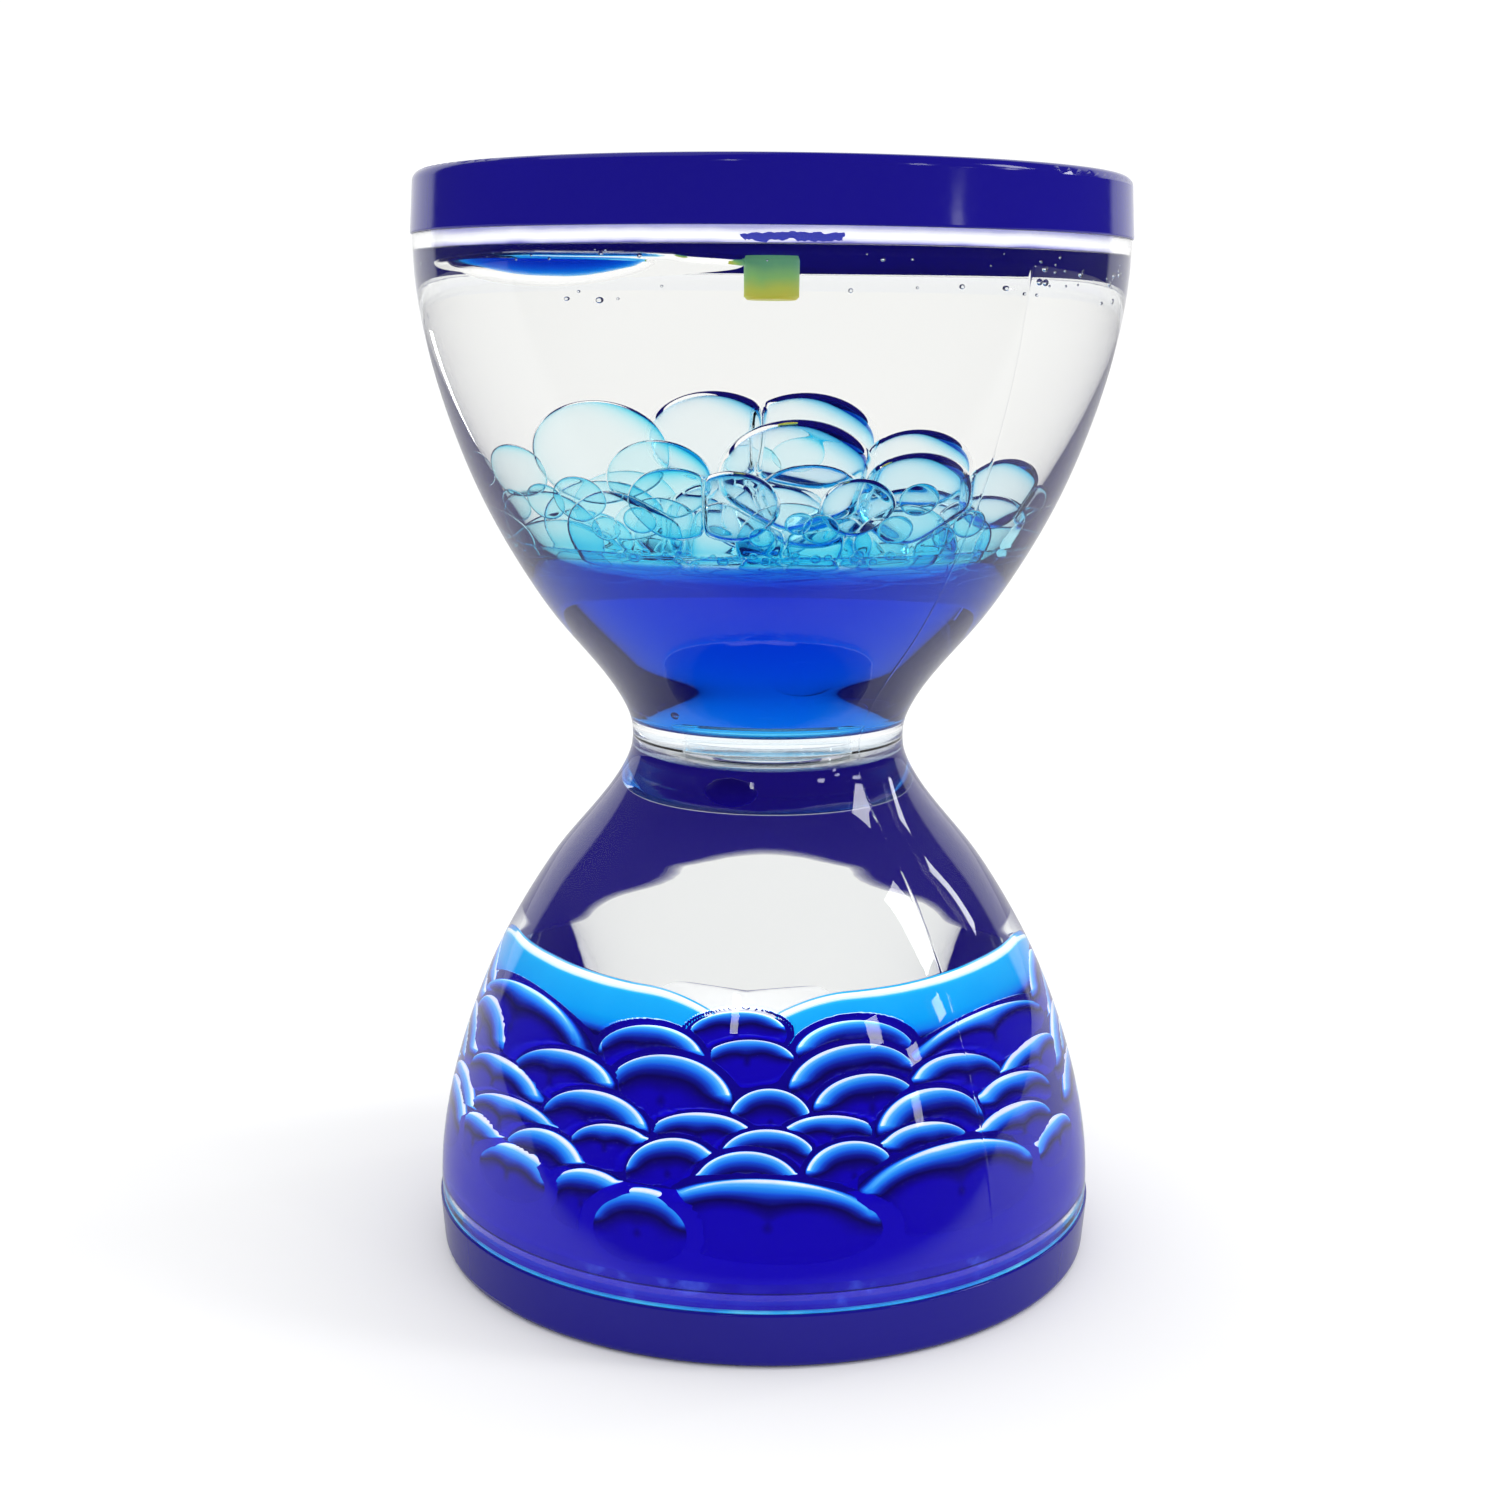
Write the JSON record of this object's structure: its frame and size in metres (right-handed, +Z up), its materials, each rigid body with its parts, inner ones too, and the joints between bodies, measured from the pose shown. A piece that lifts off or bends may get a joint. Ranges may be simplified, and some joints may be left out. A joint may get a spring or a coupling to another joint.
{
  "type": "liquid motion timer",
  "caption": "Hourglass-shaped liquid motion timer: a clear two-bulb vessel with blue end caps, in which blue drops fall through clear oil while oil drops rise.",
  "frame": {"origin": "centre of the base, on the plane it stands on", "axes": "+Z up the axis of the hourglass; -Y faces the viewer"},
  "size_m": [0.0852, 0.0852, 0.133],
  "materials": {
    "cap_blue": "polished moulded plastic, deep blue",
    "clear_shell": "polished clear moulded plastic",
    "plate_blue": "moulded plastic, deep blue, as the caps",
    "adhesive": "clear cured adhesive with fine bubbles",
    "clear_insert": "clear moulded plastic",
    "plug_rubber": "soft yellow-green plug",
    "clear_oil": "clear liquid",
    "foam": "clear drops parted by thin blue films",
    "blue_liquid": "dyed blue liquid"
  },
  "bodies": {
    "vessel": {"top_cap": "cap_blue", "base_cap": "cap_blue", "upper_bulb": "clear_shell", "lower_bulb": "clear_shell", "top_end_plate": "plate_blue", "base_end_plate": "plate_blue", "top_bond_ring": "adhesive", "base_bond_ring": "adhesive", "neck_bond": "adhesive", "orifice_insert": "clear_insert", "riser_nozzle": "clear_insert", "drip_nozzle": "clear_insert", "fill_plug": "plug_rubber", "upper_clear_oil": "clear_oil", "lower_clear_oil": "clear_oil", "oil_drop_foam": "foam", "upper_blue_liquid": "blue_liquid", "surface_blue_lens": "blue_liquid", "lower_drop_bed": "blue_liquid", "lower_blue_pool": "blue_liquid"},
    "falling_drop": {"falling_blue_drop": "blue_liquid"},
    "rising_drop": {"rising_oil_drop": "clear_oil"}
  },
  "joints": [
    {"name": "blue_drop_fall", "type": "slide", "parent": "vessel", "child": "falling_drop", "axis": [0, 0, -1], "range_m": [0, 0.0128]},
    {"name": "oil_drop_rise", "type": "slide", "parent": "vessel", "child": "rising_drop", "axis": [0, 0, 1], "range_m": [0, 0.0082]}
  ],
  "couplings": [
    {"joint": "oil_drop_rise", "follows": "blue_drop_fall", "ratio": 0.64}
  ]
}
